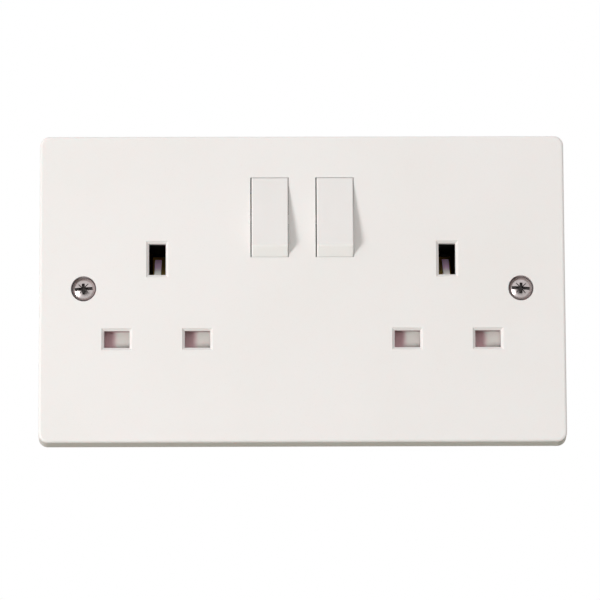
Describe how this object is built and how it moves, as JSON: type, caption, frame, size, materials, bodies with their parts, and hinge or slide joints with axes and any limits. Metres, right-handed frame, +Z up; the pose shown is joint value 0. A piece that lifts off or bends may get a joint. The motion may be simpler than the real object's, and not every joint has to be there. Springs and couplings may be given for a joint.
{
  "type": "twin switched socket outlet",
  "caption": "White moulded twin wall socket with rocker switches, shuttered pin apertures, countersunk fixing screws and a dark rear housing with brass clips and terminals.",
  "frame": {"origin": "middle of the plate on the wall plane, midway between the two fixing screws", "axes": "+X to the right as seen on the wall, along the plate; +Y into the wall; +Z up"},
  "size_m": [0.146, 0.0296, 0.086],
  "materials": {
    "plate_white": "polished thermoset moulding",
    "rocker_white": "polished moulding",
    "housing_black": "spark-eroded moulding",
    "shutter_plastic": "satin moulding",
    "plunger_nylon": "satin moulding",
    "brass_strip": "rolled strip",
    "clip_brass": "rolled spring strip",
    "terminal_brass": "extruded and drilled",
    "contact_silver": "riveted silver tip",
    "spring_steel": "drawn wire",
    "zinc_steel": "zinc plated",
    "nickel_steel": "nickel plated"
  },
  "bodies": {
    "base": {"front_plate": "plate_white", "rear_housing": "housing_black", "switch_frame": "housing_black", "earth_bar": "brass_strip", "neutral_bar": "brass_strip", "line_bar": "brass_strip", "fixed_contact_tips": "contact_silver", "terminal_screws": "terminal_brass", "housing_screws": "zinc_steel", "fixing_screws": "nickel_steel", "earth_terminal": "terminal_brass", "line_terminal": "terminal_brass", "neutral_terminal": "terminal_brass", "line_strip_left": "brass_strip", "line_clip_left": "clip_brass", "neutral_clip_left": "clip_brass", "earth_clip_left": "clip_brass", "line_shroud_left": "housing_black", "neutral_shroud_left": "housing_black", "earth_shroud_left": "housing_black", "shutter_spring_left": "spring_steel", "line_strip_right": "brass_strip", "line_clip_right": "clip_brass", "neutral_clip_right": "clip_brass", "earth_clip_right": "clip_brass", "line_shroud_right": "housing_black", "neutral_shroud_right": "housing_black", "earth_shroud_right": "housing_black", "shutter_spring_right": "spring_steel"},
    "rocker_left": {"rocker_left": "rocker_white", "plunger_spring_left": "spring_steel"},
    "plunger_left": {"plunger_left": "plunger_nylon"},
    "switch_arm_left": {"switch_arm_left": "brass_strip", "moving_tip_left": "contact_silver"},
    "shutter_left": {"shutter_left": "shutter_plastic"},
    "rocker_right": {"rocker_right": "rocker_white", "plunger_spring_right": "spring_steel"},
    "plunger_right": {"plunger_right": "plunger_nylon"},
    "switch_arm_right": {"switch_arm_right": "brass_strip", "moving_tip_right": "contact_silver"},
    "shutter_right": {"shutter_right": "shutter_plastic"}
  },
  "joints": [
    {"name": "rocker_pivot_left", "type": "hinge", "parent": "base", "child": "rocker_left", "pos_m": [-0.00889, -0.005, 0.0198], "axis": [1, 0, 0], "range_deg": [0, 17]},
    {"name": "plunger_slide_left", "type": "slide", "parent": "rocker_left", "child": "plunger_left", "axis": [0, -0.989, 0.1478], "range_m": [0, 0.00025], "stiffness_N_per_m": 40, "springref_m": -0.002},
    {"name": "arm_pivot_left", "type": "hinge", "parent": "base", "child": "switch_arm_left", "pos_m": [-0.009, 0.00753, 0.0198], "axis": [1, 0, 0], "range_deg": [-16, 0]},
    {"name": "shutter_slide_left", "type": "slide", "parent": "base", "child": "shutter_left", "axis": [0, 0, -1], "range_m": [0, 0.0062], "stiffness_N_per_m": 100, "springref_m": -0.006, "deforming": ["shutter_spring_left"]},
    {"name": "rocker_pivot_right", "type": "hinge", "parent": "base", "child": "rocker_right", "pos_m": [0.00911, -0.005, 0.0198], "axis": [1, 0, 0], "range_deg": [0, 17]},
    {"name": "plunger_slide_right", "type": "slide", "parent": "rocker_right", "child": "plunger_right", "axis": [0, -0.989, 0.1478], "range_m": [0, 0.00025], "stiffness_N_per_m": 40, "springref_m": -0.002},
    {"name": "arm_pivot_right", "type": "hinge", "parent": "base", "child": "switch_arm_right", "pos_m": [0.009, 0.00753, 0.0198], "axis": [1, 0, 0], "range_deg": [-16, 0]},
    {"name": "shutter_slide_right", "type": "slide", "parent": "base", "child": "shutter_right", "axis": [0, 0, -1], "range_m": [0, 0.0062], "stiffness_N_per_m": 100, "springref_m": -0.006, "deforming": ["shutter_spring_right"]}
  ],
  "couplings": [
    {"joint": "arm_pivot_left", "follows": "rocker_pivot_left", "ratio": -0.9411},
    {"joint": "arm_pivot_right", "follows": "rocker_pivot_right", "ratio": -0.9411}
  ]
}
